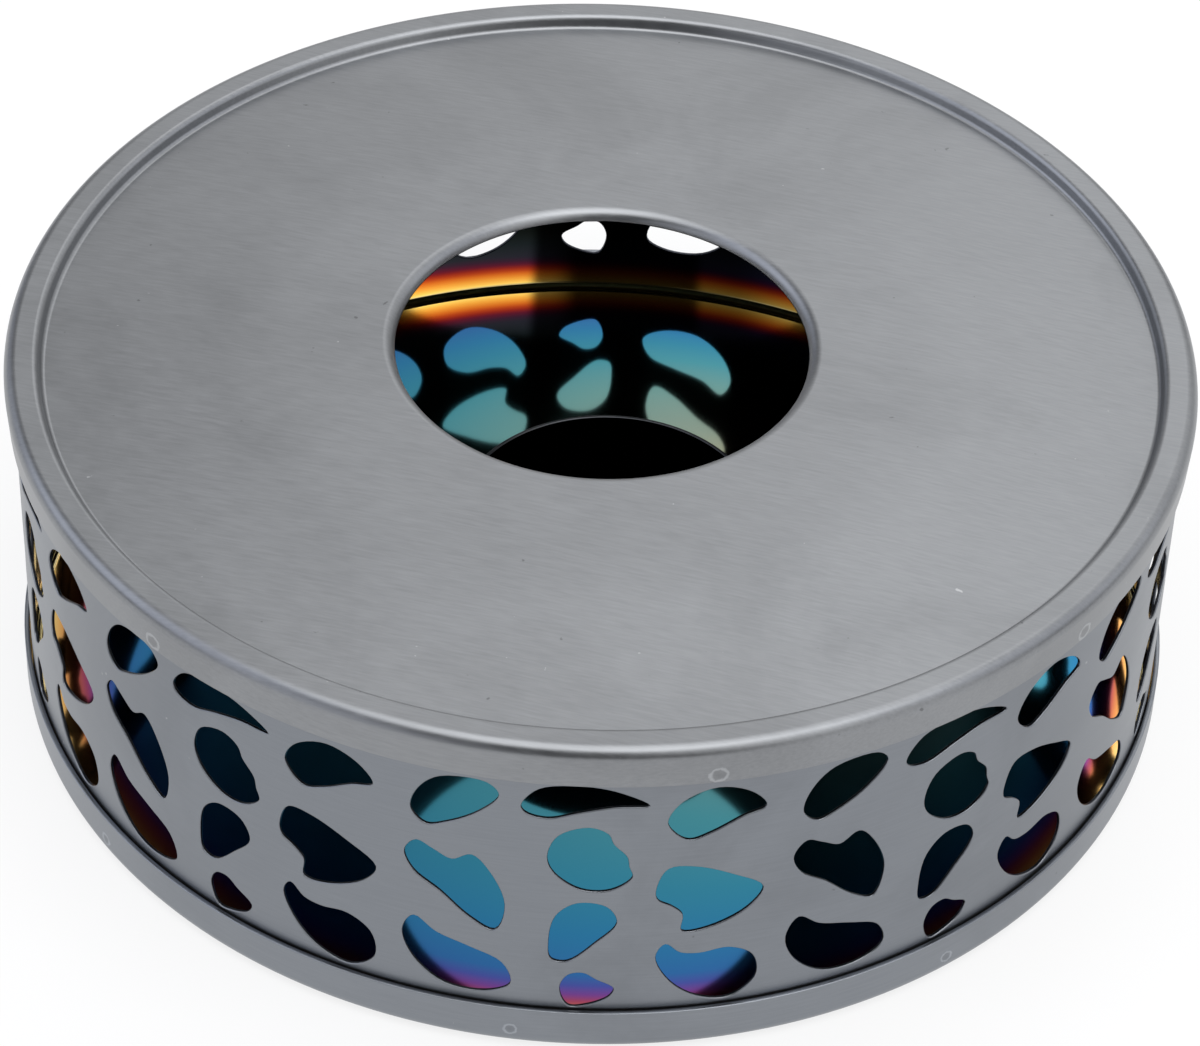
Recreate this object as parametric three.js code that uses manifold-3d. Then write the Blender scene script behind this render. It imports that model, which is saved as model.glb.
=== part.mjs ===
// Teapot warmer: a low steel drum with a perforated wall, a lid with a flame hole and a lift-out candle cup.
// Millimetres, +Z up, origin at the centre of the underside. Angles start at the front, -Y, and run to +X.
import * as THREE from "three";
import { mergeVertices } from "three/addons/utils/BufferGeometryUtils.js";
import Module from "manifold-3d";

// Drum
const TOTAL_HEIGHT = 50;
const WALL_RADIUS = 73.9;
const WALL_SHEET = 0.5;
const WALL_LIFT = 0.95; // the strip's lower edge stands in the bend of the pan, this far above the floor
const SEAT_GAP = 0.1; // below the cup, and between the strip's upper edge and the lid

// Lid
const LID_SHEET = 0.6;
const LID_CLEARANCE = 0.15; // between the wall and the lid's skirt
const SKIRT_DEPTH = 5.7;
const SKIRT_FLARE = 0.35; // the skirt opens this much from its lower edge up to the rim
const RIM_BEND = 1; // inside radius, as for every bend
const RIM_WIDTH = 4; // from the outer edge of the rim to its inner edge
const STEP_WIDTH = 1.4; // slope from the rim down to the plate
const STEP_BEND = 1.6;
const PLATE_RECESS = 1.6;
const PLATE_CROWN = 1.5; // the plate rises this much from the step to its flat middle
const CROWN_RADIUS = 44;
const FLAME_HOLE_RADIUS = 26.1;
const HOLE_EDGE_DROP = 1.4; // the edge of the flame hole is rolled down
const HOLE_EDGE_DRAFT = 0.2;
const HOLE_EDGE_BEND = 0.7;

// Base
const BASE_SHEET = 0.65;
const BASE_CLEARANCE = 0.2; // between the wall and the upturned ring
const RING_HEIGHT = 6.5;
const RING_BEND = 1.3;

// Candle cup, for a tea light of 38 mm
const CUP_RADIUS = 19.75;
const CUP_HEIGHT = 18.4;
const CUP_SHEET = 0.5;
const CUP_BEND = 1.5;
const CUP_OFFSET = [1.7, 2.4]; // the loose cup stands a little off the middle

// Cut-outs of the wall
const REPEATS = 10;
const PATTERN_FOOT = 5; // plain strip below the cut-outs
const PATTERN_HEAD = 5.2; // plain strip above them
const PATTERN_CREEP = THREE.MathUtils.degToRad(1.85); // the repeats creep round by this much at the back

// Facets
const FACETS_PER_REPEAT = 6;
const ROUND_FACETS = REPEATS * FACETS_PER_REPEAT;
const ARC_STEPS = 2;
const SIDES_PER_POINT = 1.5; // straight sides of a cut-out for each point of its outline
const WELD_DISTANCE = 1e-3; // corners this close together are one

// One repeat of the cut-outs, drawn on the flat strip. x runs along the strip from the middle of the
// repeat and y up from the lowest cut-out. A closed spline goes through each outline's points.
const CELL_WIDTH = 46.5;
const CELL_HEIGHT = 37.5;
const CUTOUTS = [
  // left column
  [[-18.8, 28.3], [-20.6, 30.2], [-19.7, 33.8], [-17, 36.5], [-11.6, 36.8], [-10.1, 35], [-12.5, 31.8],
    [-16.5, 29.1]],
  [[-21.4, 23], [-19.9, 25.2], [-17.9, 24.3], [-15.6, 23.2], [-13.2, 24.5], [-11, 22], [-9.2, 16.8],
    [-10.4, 12.3], [-13.4, 13.9], [-17, 17.4], [-20.3, 20]],
  [[-21.7, 9.3], [-20.2, 12.3], [-17.5, 10.3], [-13.4, 8.8], [-9.5, 6.9], [-8.4, 3.3], [-11.4, 1.5],
    [-16.4, 1.7], [-20.3, 5]],
  // middle column
  [[-7.5, 33.7], [-5.4, 36.7], [-1, 37.5], [3.3, 36.8], [7.4, 34.4], [3.4, 34.2], [-0.7, 33.2],
    [-4.4, 32], [-6.9, 32.6]],
  [[-4.3, 25.6], [-3, 29.3], [0.5, 30.8], [2.7, 29.8], [3.4, 28.1], [5, 26], [5.3, 24.3], [5.7, 22.5],
    [3.2, 20.4], [-0.2, 20.4], [-3.4, 22.9]],
  [[-3.9, 10.8], [-3.1, 15.8], [-0.6, 18.1], [2.8, 17.6], [4.1, 14.8], [1.6, 11.3], [-1.7, 8], [-3.5, 8.3]],
  [[-2.4, 3.4], [-1.4, 5.7], [0.3, 6.1], [1.9, 5], [4, 3.5], [3.4, 1.9], [0.8, 0.5], [-1.3, 0.3]],
  // right column
  [[9.6, 31.7], [11.3, 34.8], [15.3, 36.6], [19.3, 35.2], [21.2, 32.5], [18.5, 31.4], [14.8, 29.3],
    [12.2, 28.4], [10.3, 29.9]],
  [[8.6, 20.2], [10, 23.8], [13.2, 23.8], [17.7, 21.8], [21.5, 18.9], [19.8, 15.8], [15, 13.2],
    [11.9, 13], [11.9, 15.8], [10.6, 17.3], [8.9, 18.5]],
  [[8.9, 8.8], [10, 10.9], [11.8, 9.3], [14.1, 8.9], [17.7, 9.3], [20.7, 7.4], [21.2, 3.3], [18.1, 0.6],
    [14.1, 1.4], [10.7, 4.4]],
];

const wasm = await Module();
wasm.setup();

// Brushed outside, film-coated inside: one steel colour stands for both here.
const steel = (color, roughness) => new THREE.MeshStandardMaterial({ color, roughness, metalness: 1 });
const lidSteel = steel(0x8f9193, 0.35);
const wallSteel = steel(0x96979e, 0.4);
const baseSteel = steel(0x84878c, 0.35);
const cupSteel = steel(0x3a3a40, 0.2);

const point = (r, z) => new THREE.Vector2(r, z);

// Bends an open path at each corner that has an inside radius. The sheet lies to the left of the path.
function bent(corners, sheet) {
  return corners.flatMap(({ at, bend }, i) => {
    if (bend === undefined) return [at];
    const back = corners[i - 1].at.clone().sub(at);
    const on = corners[i + 1].at.clone().sub(at);
    const half = back.angleTo(on) / 2;
    const turn = Math.sign(on.cross(back)) * (Math.PI - 2 * half);
    const radius = bend + (turn > 0 ? sheet : 0);
    const reach = radius / Math.tan(half);
    const centre = back.clone().normalize().add(on.clone().normalize());
    centre.setLength(radius / Math.sin(half)).add(at);
    const first = at.clone().addScaledVector(back.normalize(), reach);
    const steps = Array.from({ length: ARC_STEPS + 1 }, (_, k) => (turn * k) / ARC_STEPS);
    return steps.map((angle) => first.clone().rotateAround(centre, angle));
  });
}

// The other face of a sheet: the path moved to its left by the sheet's thickness, corners mitred.
function inset(path, sheet) {
  const runs = path.slice(1).map((at, i) => at.clone().sub(path[i]).normalize());
  return path.map((at, i) => {
    const back = runs[Math.max(i - 1, 0)];
    const on = runs[Math.min(i, runs.length - 1)];
    const mitre = point(-back.y - on.y, back.x + on.x);
    return at.clone().addScaledVector(mitre, (2 * sheet) / mitre.lengthSq());
  });
}

// A drawn sheet: its outer face, given as a path, and its inner face turned about Z.
function drawnSheet(corners, sheet) {
  const outer = bent(corners, sheet);
  const loop = [...outer, ...inset(outer, sheet).reverse()];
  if (outer[0].x > 0) loop.push(outer[0].clone());
  return new THREE.LatheGeometry(loop, ROUND_FACETS).rotateX(Math.PI / 2);
}

function solidOf(geometry) {
  const bare = new THREE.BufferGeometry().setIndex(geometry.index);
  bare.setAttribute("position", geometry.getAttribute("position"));
  const merged = mergeVertices(bare, WELD_DISTANCE);
  const triVerts = new Uint32Array(merged.index.array);
  const vertProperties = merged.getAttribute("position").array;
  return new wasm.Manifold(new wasm.Mesh({ numProp: 3, vertProperties, triVerts }));
}

function geometryOf(solid) {
  const { vertProperties, triVerts } = solid.getMesh();
  const geometry = new THREE.BufferGeometry().setIndex(new THREE.BufferAttribute(triVerts, 1));
  geometry.setAttribute("position", new THREE.BufferAttribute(vertProperties, 3));
  geometry.computeVertexNormals();
  return geometry;
}

// The strip's upper edge stops in the bend under the rim.
const wallFoot = BASE_SHEET + WALL_LIFT;
const wallHead = TOTAL_HEIGHT - LID_SHEET - RIM_BEND / 2 - SEAT_GAP;
const wallInner = WALL_RADIUS - WALL_SHEET;

function topPlate() {
  const skirtRadius = WALL_RADIUS + LID_CLEARANCE + LID_SHEET;
  const rimRadius = skirtRadius + SKIRT_FLARE;
  const rimInner = rimRadius - RIM_WIDTH;
  const groove = TOTAL_HEIGHT - PLATE_RECESS;
  const plate = groove + PLATE_CROWN;
  const corners = [
    { at: point(skirtRadius, TOTAL_HEIGHT - SKIRT_DEPTH) },
    { at: point(rimRadius, TOTAL_HEIGHT), bend: RIM_BEND },
    { at: point(rimInner, TOTAL_HEIGHT), bend: RIM_BEND },
    { at: point(rimInner - STEP_WIDTH, groove), bend: STEP_BEND },
    { at: point(CROWN_RADIUS, plate) },
    { at: point(FLAME_HOLE_RADIUS + HOLE_EDGE_DRAFT, plate), bend: HOLE_EDGE_BEND },
    { at: point(FLAME_HOLE_RADIUS, plate - HOLE_EDGE_DROP) },
  ];
  return drawnSheet(corners, LID_SHEET);
}

function basePan() {
  const ringRadius = WALL_RADIUS + BASE_CLEARANCE + BASE_SHEET;
  const corners = [
    { at: point(0, 0) },
    { at: point(ringRadius, 0), bend: RING_BEND },
    { at: point(ringRadius, RING_HEIGHT) },
  ];
  return drawnSheet(corners, BASE_SHEET);
}

function candleCup() {
  const corners = [
    { at: point(0, 0) },
    { at: point(CUP_RADIUS, 0), bend: CUP_BEND },
    { at: point(CUP_RADIUS, CUP_HEIGHT) },
  ];
  return drawnSheet(corners, CUP_SHEET);
}

// The prism that cuts one outline through the wall, square to the sheet at the outline's middle.
function cutter(outline, repeat) {
  const acrossScale = (2 * Math.PI * WALL_RADIUS) / REPEATS / CELL_WIDTH;
  const upScale = (wallHead - wallFoot - PATTERN_FOOT - PATTERN_HEAD) / CELL_HEIGHT;
  const low = wallFoot + PATTERN_FOOT;
  const knots = outline.map(([x, y]) => new THREE.Vector3(x * acrossScale, low + y * upScale, 0));
  const middle = knots.reduce((sum, knot) => sum + knot.x, 0) / knots.length;
  const curve = new THREE.CatmullRomCurve3(knots, true);
  const rim = curve.getPoints(Math.round(knots.length * SIDES_PER_POINT)).slice(0, -1);
  const shape = new THREE.Shape(rim.map(({ x, y }) => point(x - middle, y)));
  const prism = new THREE.ExtrudeGeometry(shape, { depth: 4 * WALL_SHEET, bevelEnabled: false });
  prism.translate(0, 0, wallInner - 2 * WALL_SHEET).rotateX(Math.PI / 2);
  const angle = middle / WALL_RADIUS + (2 * Math.PI * repeat) / REPEATS;
  return prism.rotateZ(angle + PATTERN_CREEP * Math.sin(angle / 2) ** 4);
}

function perforatedWall() {
  const corners = [{ at: point(WALL_RADIUS, wallFoot) }, { at: point(WALL_RADIUS, wallHead) }];
  const strip = solidOf(drawnSheet(corners, WALL_SHEET));
  const repeats = Array.from({ length: REPEATS }, (_, k) => k);
  const cutters = repeats.flatMap((k) => CUTOUTS.map((outline) => solidOf(cutter(outline, k))));
  return geometryOf(strip.subtract(wasm.Manifold.union(cutters)));
}

function piece(name, geometry, material) {
  const mesh = new THREE.Mesh(geometry, material);
  mesh.name = name;
  return mesh;
}

const cup = piece("candle_cup", candleCup(), cupSteel);
cup.position.set(...CUP_OFFSET, BASE_SHEET + SEAT_GAP);

const warmer = new THREE.Group();
warmer.add(
  piece("base_pan", basePan(), baseSteel),
  piece("perforated_wall", perforatedWall(), wallSteel),
  piece("top_plate", topPlate(), lidSteel),
  cup,
);

export default warmer;
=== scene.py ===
"""Teapot warmer of sheet steel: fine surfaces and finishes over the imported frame, in a plain studio.

Lengths are in millimetres, where a name says nothing else, and become metres where they enter Blender.
"""

from __future__ import annotations

import logging
import math
from collections.abc import Sequence
from dataclasses import dataclass, field, replace
from enum import Enum, IntEnum

import bpy
import numpy as np
from mathutils import Matrix, Vector
from mathutils.geometry import delaunay_2d_cdt

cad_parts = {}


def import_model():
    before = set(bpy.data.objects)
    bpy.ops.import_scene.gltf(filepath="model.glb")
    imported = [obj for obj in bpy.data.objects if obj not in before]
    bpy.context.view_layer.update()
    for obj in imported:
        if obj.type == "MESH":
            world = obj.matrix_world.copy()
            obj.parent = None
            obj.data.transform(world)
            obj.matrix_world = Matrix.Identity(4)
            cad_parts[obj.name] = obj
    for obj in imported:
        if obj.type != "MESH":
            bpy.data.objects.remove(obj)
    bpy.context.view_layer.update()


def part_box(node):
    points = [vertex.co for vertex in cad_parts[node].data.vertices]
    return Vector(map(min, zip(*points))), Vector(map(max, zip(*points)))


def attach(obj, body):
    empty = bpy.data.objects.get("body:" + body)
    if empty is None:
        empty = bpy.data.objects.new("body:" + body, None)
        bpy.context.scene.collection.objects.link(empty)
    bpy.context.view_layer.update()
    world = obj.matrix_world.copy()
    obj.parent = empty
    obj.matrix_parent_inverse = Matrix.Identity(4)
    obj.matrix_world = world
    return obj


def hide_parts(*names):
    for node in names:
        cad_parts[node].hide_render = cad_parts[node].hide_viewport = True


LOG = logging.getLogger("teapot_warmer")
MM = 0.001
FULL_TURN = 2 * math.pi
ROUND_STEPS = 240
ARC_STEP = math.radians(9)
HALF_ROUND_POINTS = 9
MERGE_DECIMALS = 4
MERGE_SHIFT = 0.123e-4  # keeps coordinates off the border between two rounded values
MESH_TOLERANCE = 1e-7

Span = tuple[float, float]
Point = tuple[float, float, float]
Tree = bpy.types.NodeTree
Socket = bpy.types.NodeSocket


class Side(IntEnum):
    """Which finish a face takes: the material slots of every sheet-steel piece, in this order."""

    OUTSIDE = 0
    INSIDE = 1
    EDGE = 2


class Body(str, Enum):
    """The frame's bodies."""

    DRUM = "drum"
    CUP = "cup"


# Meshes from arrays


@dataclass(frozen=True)
class Patch:
    """A piece of surface in millimetres, with one normal for each corner of each face."""

    points: np.ndarray
    faces: np.ndarray
    normals: np.ndarray
    side: Side


@dataclass(frozen=True)
class Run:
    """A smooth stretch of a section: points (r, z), their outward normals, and the side that it shows."""

    points: np.ndarray
    normals: np.ndarray
    side: Side


@dataclass(frozen=True)
class Corner:
    """A corner of a sheet's outer face, in millimetres; bend is the radius on the inside of the bend."""

    r: float
    z: float
    bend: float = 0.0


def bent_path(corners: Sequence[Corner], sheet: float) -> tuple[np.ndarray, np.ndarray]:
    """Bends a path of straight runs at its corners.

    An arc of radius rho that turns by t starts rho * tan(t / 2) before its corner. The sheet lies to the
    left of the path, so rho is the bend's inside radius plus the sheet on a left turn.

    Args:
        corners: the path, from its first end to its last.
        sheet: thickness of the sheet.

    Returns:
        The points and their normals, to the right of the path, each as an array of (r, z).
    """
    at = np.array([(corner.r, corner.z) for corner in corners])
    ahead = np.diff(at, axis=0)
    ahead /= np.linalg.norm(ahead, axis=1, keepdims=True)
    right = np.stack([ahead[:, 1], -ahead[:, 0]], axis=1)
    points = [at[:1]]
    normals = [right[:1]]
    for i, corner in enumerate(corners[1:-1], start=1):
        before, after = ahead[i - 1], ahead[i]
        turn = math.atan2(before[0] * after[1] - before[1] * after[0], float(before @ after))
        hand = math.copysign(1, turn)
        radius = corner.bend + (sheet if turn > 0 else 0)
        start = at[i] - before * radius * math.tan(abs(turn) / 2)
        angles = np.linspace(0, turn, 1 + math.ceil(abs(turn) / ARC_STEP))
        arc = np.stack([right[i - 1][0] * np.cos(angles) - right[i - 1][1] * np.sin(angles),
                        right[i - 1][0] * np.sin(angles) + right[i - 1][1] * np.cos(angles)], axis=1)
        points.append(start + hand * radius * (arc - right[i - 1]))
        normals.append(arc)
    points.append(at[-1:])
    normals.append(right[-1:])
    return np.concatenate(points), np.concatenate(normals)


def edge_cap(point: np.ndarray, normal: np.ndarray, onward: np.ndarray, sheet: float,
             bulge: float) -> Run:
    """Rounds the end of a sheet: half an ellipse from its outer to its inner face.

    Args:
        point: end of the outer face.
        normal: outward normal there.
        onward: direction in which the sheet ends.
        sheet: thickness, twice the ellipse's one radius.
        bulge: how far the edge stands out, the other radius.

    Returns:
        The cap as a run of the section.
    """
    angle = np.linspace(0, math.pi, HALF_ROUND_POINTS)[:, None]
    half = sheet / 2
    points = point - normal * half + normal * half * np.cos(angle) + onward * bulge * np.sin(angle)
    normals = normal * np.cos(angle) / half + onward * np.sin(angle) / bulge
    return Run(points, normals / np.linalg.norm(normals, axis=1, keepdims=True), Side.EDGE)


def sheet_section(corners: Sequence[Corner], sheet: float, bulge: float) -> list[Run]:
    """Section of a drawn sheet: outer face, rounded edge, inner face and, off the axis, the other edge.

    Args:
        corners: outer face, with the sheet to its left.
        sheet: thickness.
        bulge: rounding of the sheet's edges.

    Returns:
        The runs, in order round the section.
    """
    outer, normals = bent_path(corners, sheet)
    last = outer[-1] - outer[-2]
    last /= np.linalg.norm(last)
    outer[-1] -= last * bulge
    first = outer[0] - outer[1]
    first /= np.linalg.norm(first)
    on_axis = outer[0, 0] == 0
    if not on_axis:
        outer[0] -= first * bulge
    inner = outer - normals * sheet
    runs = [Run(outer, normals, Side.OUTSIDE),
            edge_cap(outer[-1], normals[-1], last, sheet, bulge),
            Run(inner[::-1], -normals[::-1], Side.INSIDE)]
    if not on_axis:
        cap = edge_cap(outer[0], normals[0], first, sheet, bulge)
        runs.append(Run(cap.points[::-1], cap.normals[::-1], Side.EDGE))
    return runs


def turned(run: Run) -> list[Patch]:
    """Turns a run about Z: point (r, z) at angle a becomes (r sin a, -r cos a, z).

    Args:
        run: stretch of the section.

    Returns:
        A patch of quads and, where the run meets the axis, a fan of triangles.
    """
    angle = np.arange(ROUND_STEPS) * FULL_TURN / ROUND_STEPS
    around = np.stack([np.sin(angle), -np.cos(angle)], axis=1)

    def spun(section: np.ndarray) -> np.ndarray:
        """Carries rows of the section round the axis.

        Args:
            section: array of (r, z).

        Returns:
            An array of row, step and x, y, z.
        """
        flat = section[:, None, :1] * around[None]
        height = np.broadcast_to(section[:, None, 1:], flat.shape[:2] + (1,))
        return np.concatenate([flat, height], axis=2)

    rows = len(run.points)
    points = spun(run.points).reshape(-1, 3)
    normals = spun(run.normals).reshape(-1, 3)
    index = np.arange(rows * ROUND_STEPS).reshape(rows, ROUND_STEPS)
    beside = np.roll(index, -1, axis=1)
    quads = np.stack([index[:-1], beside[:-1], beside[1:], index[1:]], axis=-1)
    poles = (run.points[:-1, 0] == 0) | (run.points[1:, 0] == 0)
    band = quads[~poles].reshape(-1, 4)
    patches = [Patch(points, band, normals[band], run.side)]
    for i in np.flatnonzero(poles):
        keep = (0, 2, 3) if run.points[i, 0] == 0 else (0, 1, 2)
        fan = quads[i][:, keep]
        patches.append(Patch(points, fan, normals[fan], run.side))
    return patches


def turned_sheet(corners: Sequence[Corner], sheet: float, bulge: float) -> list[Patch]:
    """Turns the section of a drawn sheet about Z. The arguments are those of sheet_section."""
    return [patch for run in sheet_section(corners, sheet, bulge) for patch in turned(run)]


def make_piece(name: str, patches: Sequence[Patch], materials: Sequence[bpy.types.Material],
               body: Body) -> bpy.types.Object:
    """Joins patches to one closed mesh and hangs it on a body.

    Points that coincide are merged, so that neighbouring patches share their edges, while the normals of
    each face corner stay as the formulas give them.

    Args:
        name: name of the piece.
        patches: surfaces in millimetres.
        materials: finishes, in the order of Side.
        body: frame body that the piece rides on.

    Returns:
        The new object.
    """
    starts = np.cumsum([0] + [len(patch.points) for patch in patches])
    points = np.concatenate([patch.points for patch in patches])
    rounded = np.round(points + MERGE_SHIFT, MERGE_DECIMALS)
    _, first, merged = np.unique(rounded, axis=0, return_index=True, return_inverse=True)
    merged = merged.reshape(-1)
    faces = [merged[patch.faces + start] for patch, start in zip(patches, starts)]
    mesh = bpy.data.meshes.new(name)
    face_rows = [face for group in faces for face in group.tolist()]
    mesh.from_pydata((points[first] * MM).tolist(), [], face_rows)
    sides = np.concatenate([np.full(len(patch.faces), int(patch.side)) for patch in patches])
    mesh.polygons.foreach_set("material_index", sides.astype(np.int32))
    mesh.polygons.foreach_set("use_smooth", np.ones(len(sides), dtype=bool))
    for material in materials:
        mesh.materials.append(material)
    mesh.update()
    mesh.normals_split_custom_set(np.concatenate([patch.normals.reshape(-1, 3) for patch in patches]))
    piece = bpy.data.objects.new(name, mesh)
    bpy.context.scene.collection.objects.link(piece)
    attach(piece, body.value)
    LOG.info("%s: %d faces on %s", name, len(sides), body.value)
    return piece


# Finishes


def linear(colour: str) -> tuple[float, float, float, float]:
    """Turns an sRGB hex colour into linear red, green, blue and alpha."""
    parts = [int(colour[i:i + 2], 16) / 255 for i in (1, 3, 5)]
    return (*(c / 12.92 if c <= 0.04045 else ((c + 0.055) / 1.055) ** 2.4 for c in parts), 1.0)


def add_node(tree: Tree, kind: str, sockets: dict | None = None,
             stops: Sequence[tuple[float, tuple]] = (), **settings) -> bpy.types.Node:
    """Adds a node to a tree.

    Sockets that share a name are chosen by number: a mix of colours takes them at 6 and 7 and gives its
    result at 2, and a node for vectors gives a vector at 0 and a number at 1.

    Args:
        tree: node tree of a material or the world.
        kind: Blender's name of the node.
        sockets: input name or number to a value, or to an output socket that is linked to it.
        stops: positions and linear colours of a colour ramp, which has two to begin with.
        **settings: properties of the node itself.

    Returns:
        The new node.
    """
    node = tree.nodes.new(kind)
    for name, value in settings.items():
        setattr(node, name, value)
    for i, (at, colour) in enumerate(stops):
        stop = node.color_ramp.elements[i] if i < 2 else node.color_ramp.elements.new(at)
        stop.position = at
        stop.color = colour
    for socket, value in (sockets or {}).items():
        if isinstance(value, Socket):
            tree.links.new(value, node.inputs[socket])
        else:
            node.inputs[socket].default_value = value
    return node


def new_material(name: str) -> tuple[bpy.types.Material, Tree, bpy.types.Node, Socket]:
    """Makes a material of bare metal.

    Args:
        name: name of the material.

    Returns:
        The material, its tree, its surface shader and the position on the piece.
    """
    material = bpy.data.materials.new(name)
    material.use_nodes = True
    tree = material.node_tree
    tree.nodes.clear()
    shader = add_node(tree, "ShaderNodeBsdfPrincipled", {"Metallic": 1.0})
    add_node(tree, "ShaderNodeOutputMaterial", {"Surface": shader.outputs[0]})
    return material, tree, shader, add_node(tree, "ShaderNodeTexCoord").outputs["Object"]


class Grain(Enum):
    """Which way the brush went: stretch of the strokes along x, y and z before they are turned."""

    STRAIGHT = (0.09, 1.0, 1.0)
    ROUND = (0.04, 0.04, 1.0)


@dataclass(frozen=True)
class WeldMarks:
    """Spot-weld marks: a thin light ring, ragged at its edge, about a speckled middle."""

    centres: tuple[Point, ...]
    radius_mm: float
    ragged_mm: float = 0.5
    depth_mm: float = 0.12
    greys: tuple[Span, ...] = ((0.0, 0.42), (0.55, 0.46), (0.76, 0.74), (0.9, 0.68), (1.0, 0.5))

    def draw(self, tree: Tree, place: Socket) -> Socket:
        """Draws the marks by the distance to the nearest middle, which fine noise makes ragged.

        Args:
            tree: node tree of the material.
            place: position on the piece.

        Returns:
            A grey: 0.5 on plain steel, a little less in the middles and more on the rings.
        """
        nearest = None
        for centre in self.centres:
            gap = add_node(tree, "ShaderNodeVectorMath", {
                0: place, 1: tuple(c * MM for c in centre)}, operation="DISTANCE").outputs[1]
            nearest = gap if nearest is None else add_node(tree, "ShaderNodeMath", {
                0: nearest, 1: gap}, operation="MINIMUM").outputs[0]
        ragged = add_node(tree, "ShaderNodeTexNoise", {
            "Vector": place, "Scale": 1 / (self.ragged_mm * MM), "Detail": 2.0}).outputs[0]
        shift = add_node(tree, "ShaderNodeMath", {
            0: ragged, 1: self.ragged_mm * MM, 2: -self.ragged_mm / 2 * MM},
            operation="MULTIPLY_ADD").outputs[0]
        away = add_node(tree, "ShaderNodeMath", {0: nearest, 1: shift}, operation="ADD").outputs[0]
        share = add_node(tree, "ShaderNodeMath", {
            0: away, 1: self.radius_mm * MM}, operation="DIVIDE").outputs[0]
        stops = [(at, (grey, grey, grey, 1.0)) for at, grey in self.greys]
        return add_node(tree, "ShaderNodeValToRGB", {0: share}, stops).outputs[0]


@dataclass(frozen=True)
class BrushedSteel:
    """Brushed stainless steel: grey metal with fine strokes, clouds, smudges and a few pits.

    The strokes are coarser than real ones, so that they show.
    """

    name: str
    colour: str
    stroke_colour: str
    grain: Grain
    turn_deg: float = 0.0
    roughness: Span = (0.33, 0.40)
    stroke_mm: float = 0.25
    depth_mm: float = 0.002
    cloud_mm: float = 16.0
    cloud_share: float = 0.5
    blend_range: Span = (0.5, 1.0)
    smudge_mm: float = 38.0
    smudge_range: Span = (0.46, 0.66)
    smudge_level: float = 0.9
    pit_mm: float = 1.6
    pit_share: float = 0.45
    pits: tuple[tuple[Span, str], ...] = (((0.765, 0.8), "#3a3a3c"), ((0.225, 0.2), "#d4d5d8"))
    welds: WeldMarks | None = None

    def material(self) -> bpy.types.Material:
        """Builds the finish: strokes and clouds set colour and roughness, and strokes and welds the bump.

        Returns:
            The new material.
        """
        material, tree, shader, place = new_material(self.name)
        turned_place = add_node(tree, "ShaderNodeMapping", {
            "Vector": place, "Rotation": (0.0, 0.0, math.radians(self.turn_deg))}).outputs[0]
        along = add_node(tree, "ShaderNodeMapping", {
            "Vector": turned_place, "Scale": self.grain.value}).outputs[0]
        strokes = add_node(tree, "ShaderNodeTexNoise", {
            "Vector": along, "Scale": 1 / (self.stroke_mm * MM), "Detail": 3.0, "Roughness": 0.6}).outputs[0]
        clouds = add_node(tree, "ShaderNodeTexNoise", {
            "Vector": place, "Scale": 1 / (self.cloud_mm * MM), "Detail": 6.0, "Roughness": 0.7}).outputs[0]
        blend = add_node(tree, "ShaderNodeMath", {
            0: clouds, 1: self.cloud_share, 2: strokes}, operation="MULTIPLY_ADD").outputs[0]
        share = add_node(tree, "ShaderNodeMapRange", {
            "Value": blend, "From Min": self.blend_range[0], "From Max": self.blend_range[1]}).outputs[0]
        colour = add_node(tree, "ShaderNodeMix", {
            "Factor": share, 6: linear(self.stroke_colour), 7: linear(self.colour)},
            data_type="RGBA").outputs[2]
        smears = add_node(tree, "ShaderNodeTexNoise", {
            "Vector": place, "Scale": 1 / (self.smudge_mm * MM), "Detail": 5.0, "Roughness": 0.62,
            "Distortion": 0.6}).outputs[0]
        smudge = add_node(tree, "ShaderNodeMapRange", {
            "Value": smears, "From Min": self.smudge_range[0], "From Max": self.smudge_range[1],
            "To Min": 1.0, "To Max": self.smudge_level}, interpolation_type="SMOOTHSTEP").outputs[0]
        colour = add_node(tree, "ShaderNodeVectorMath", {
            0: colour, 1: smudge}, operation="MULTIPLY").outputs[0]
        grains = add_node(tree, "ShaderNodeTexNoise", {
            "Vector": place, "Scale": 1 / (self.pit_mm * MM), "Detail": 2.0}).outputs[0]
        for (start, end), pit_colour in self.pits:
            dots = add_node(tree, "ShaderNodeMapRange", {
                "Value": grains, "From Min": start, "From Max": end, "To Max": self.pit_share}).outputs[0]
            colour = add_node(tree, "ShaderNodeMix", {
                "Factor": dots, 6: colour, 7: linear(pit_colour)}, data_type="RGBA").outputs[2]
        rough = add_node(tree, "ShaderNodeMapRange", {
            "Value": blend, "From Min": self.blend_range[0], "From Max": self.blend_range[1],
            "To Min": self.roughness[0], "To Max": self.roughness[1]}).outputs[0]
        bump = add_node(tree, "ShaderNodeBump", {
            "Height": strokes, "Distance": self.depth_mm * MM}).outputs[0]
        if self.welds:
            marks = self.welds.draw(tree, place)
            colour = add_node(tree, "ShaderNodeMix", {
                "Factor": 1.0, 6: colour, 7: marks}, data_type="RGBA", blend_type="OVERLAY").outputs[2]
            bump = add_node(tree, "ShaderNodeBump", {
                "Height": marks, "Distance": self.welds.depth_mm * MM, "Normal": bump}).outputs[0]
        tree.links.new(colour, shader.inputs["Base Color"])
        tree.links.new(rough, shader.inputs["Roughness"])
        tree.links.new(bump, shader.inputs["Normal"])
        return material


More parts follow.
